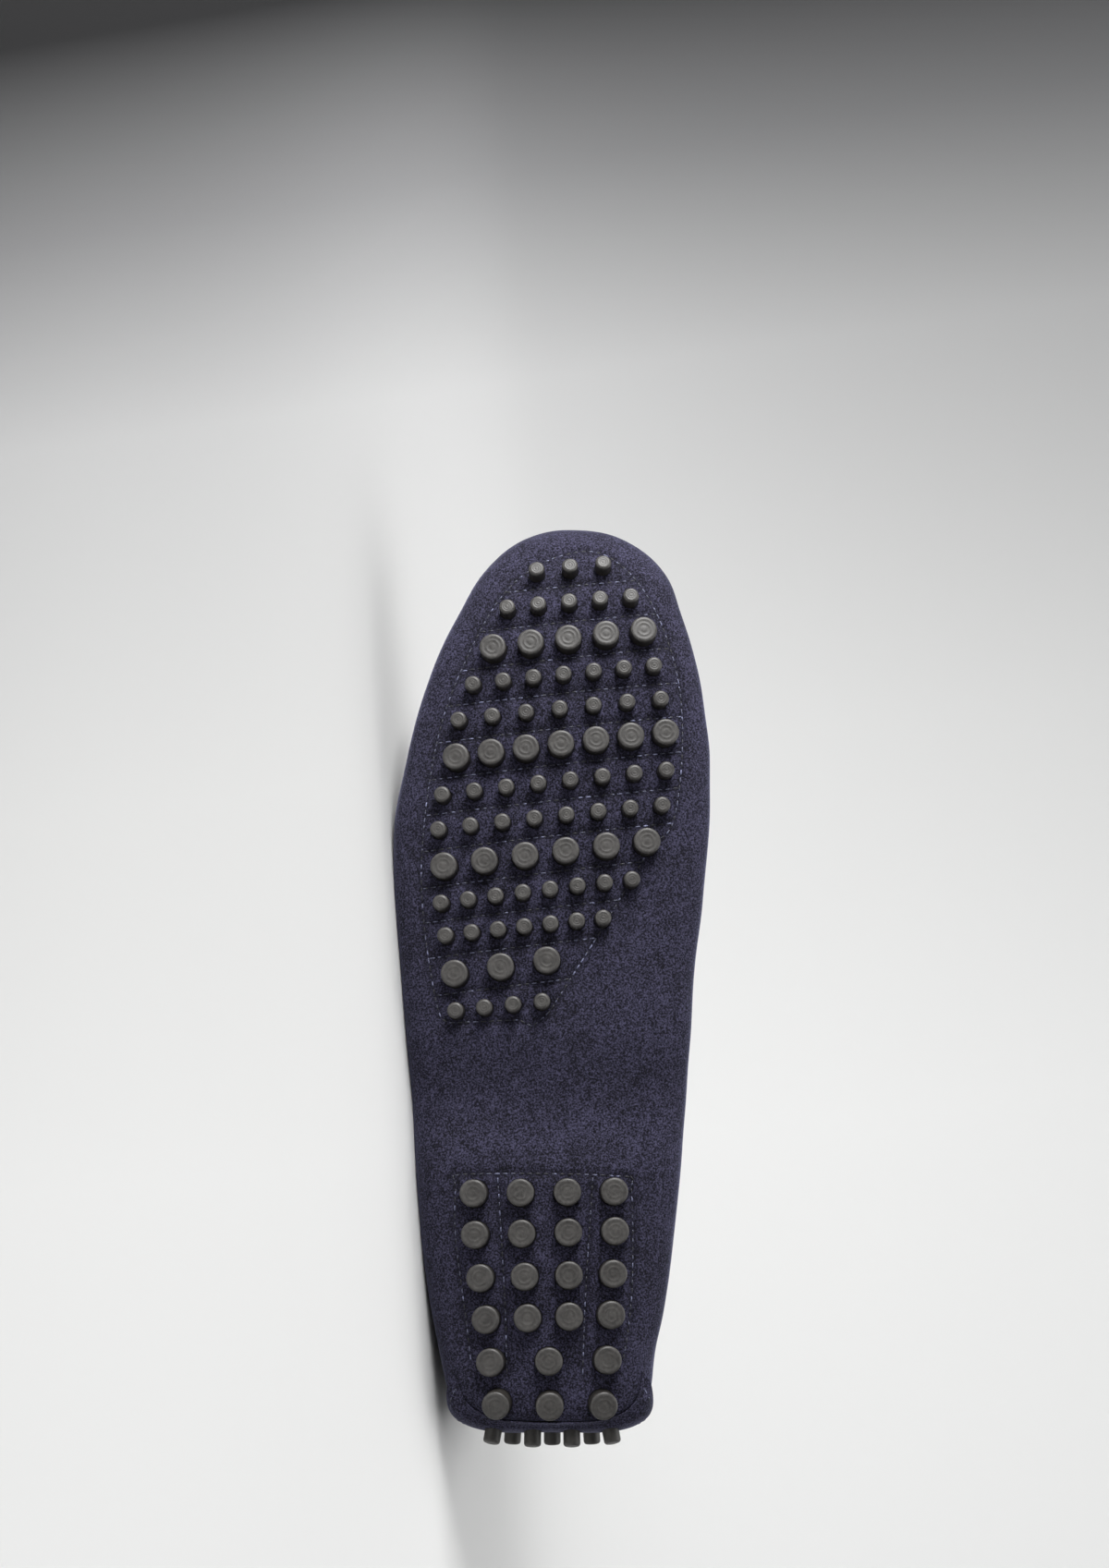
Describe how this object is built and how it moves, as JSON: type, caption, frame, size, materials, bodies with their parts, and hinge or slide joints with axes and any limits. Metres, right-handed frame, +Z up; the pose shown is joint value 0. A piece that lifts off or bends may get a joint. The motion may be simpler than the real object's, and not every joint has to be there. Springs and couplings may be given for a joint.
{
  "type": "driving moccasin",
  "caption": "Low slip-on driving moccasin of soft suede, with a raised toe seam and rubber pegs under the ball, the heel and up its back.",
  "frame": {"origin": "centre of the bounding box at the floor it lies on", "axes": "+X towards the heel, -X towards the toe, -Y the way the sole faces, +Z up towards the inner side of the shoe, which lies on its outer side"},
  "size_m": [0.2914, 0.0744, 0.1018],
  "materials": {
    "suede": "napped navy suede",
    "rubber": "matt dark grey rubber",
    "insole_leather": "smooth dark leather"
  },
  "bodies": {
    "root": {"suede_wrap": "suede", "apron": "suede", "collar_binding": "suede", "heel_tab": "suede", "forefoot_peg_unit": "rubber", "heel_peg_unit": "rubber", "back_peg_strip": "rubber", "insole": "insole_leather"}
  },
  "joints": []
}
